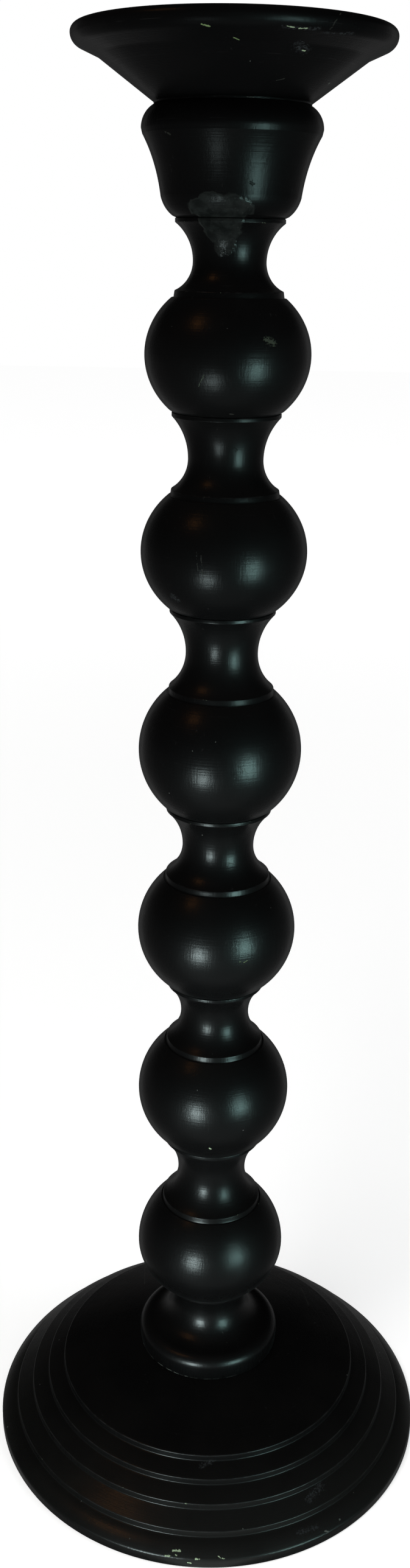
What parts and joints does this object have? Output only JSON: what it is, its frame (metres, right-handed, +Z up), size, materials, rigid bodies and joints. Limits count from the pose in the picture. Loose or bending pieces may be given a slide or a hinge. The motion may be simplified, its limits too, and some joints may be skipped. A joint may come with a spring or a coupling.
{
  "type": "candle stand",
  "caption": "Tall turned wooden pillar candle stand: stepped round base, stem of stacked ball turnings, tulip cup and wide dished drip pan with a spike.",
  "frame": {"origin": "centre of the underside of the felt under the base, where the stand meets the table", "axes": "+Z up along the turning axis, towards the candle; the stand is round, so +X and +Y are any two level directions"},
  "size_m": [0.25, 0.25, 0.7673],
  "materials": {
    "black_paint": "turned hardwood under satin black paint, worn on the edges",
    "bare_wood": "bare beech, glued",
    "felt": "pressed wool felt",
    "zinc_steel": "zinc plated",
    "black_iron": "blackened sheet iron and wire, matt"
  },
  "bodies": {
    "root": {"base_felt": "felt", "base_disc": "black_paint", "base_washer": "zinc_steel", "base_screw": "zinc_steel", "foot": "black_paint", "dowel_1": "bare_wood", "dowel_2": "bare_wood", "dowel_3": "bare_wood", "dowel_4": "bare_wood", "dowel_5": "bare_wood", "dowel_6": "bare_wood", "dowel_7": "bare_wood", "bobbin_1": "black_paint", "bobbin_2": "black_paint", "bobbin_3": "black_paint", "bobbin_4": "black_paint", "bobbin_5": "black_paint", "bobbin_6": "black_paint", "candle_cup": "black_paint", "drip_pan": "black_paint", "pan_screw_1": "zinc_steel", "pan_screw_2": "zinc_steel", "candle_plate": "black_iron", "pricket_spike": "black_iron", "plate_screw_1": "black_iron", "plate_screw_2": "black_iron", "plate_screw_3": "black_iron"}
  },
  "joints": []
}
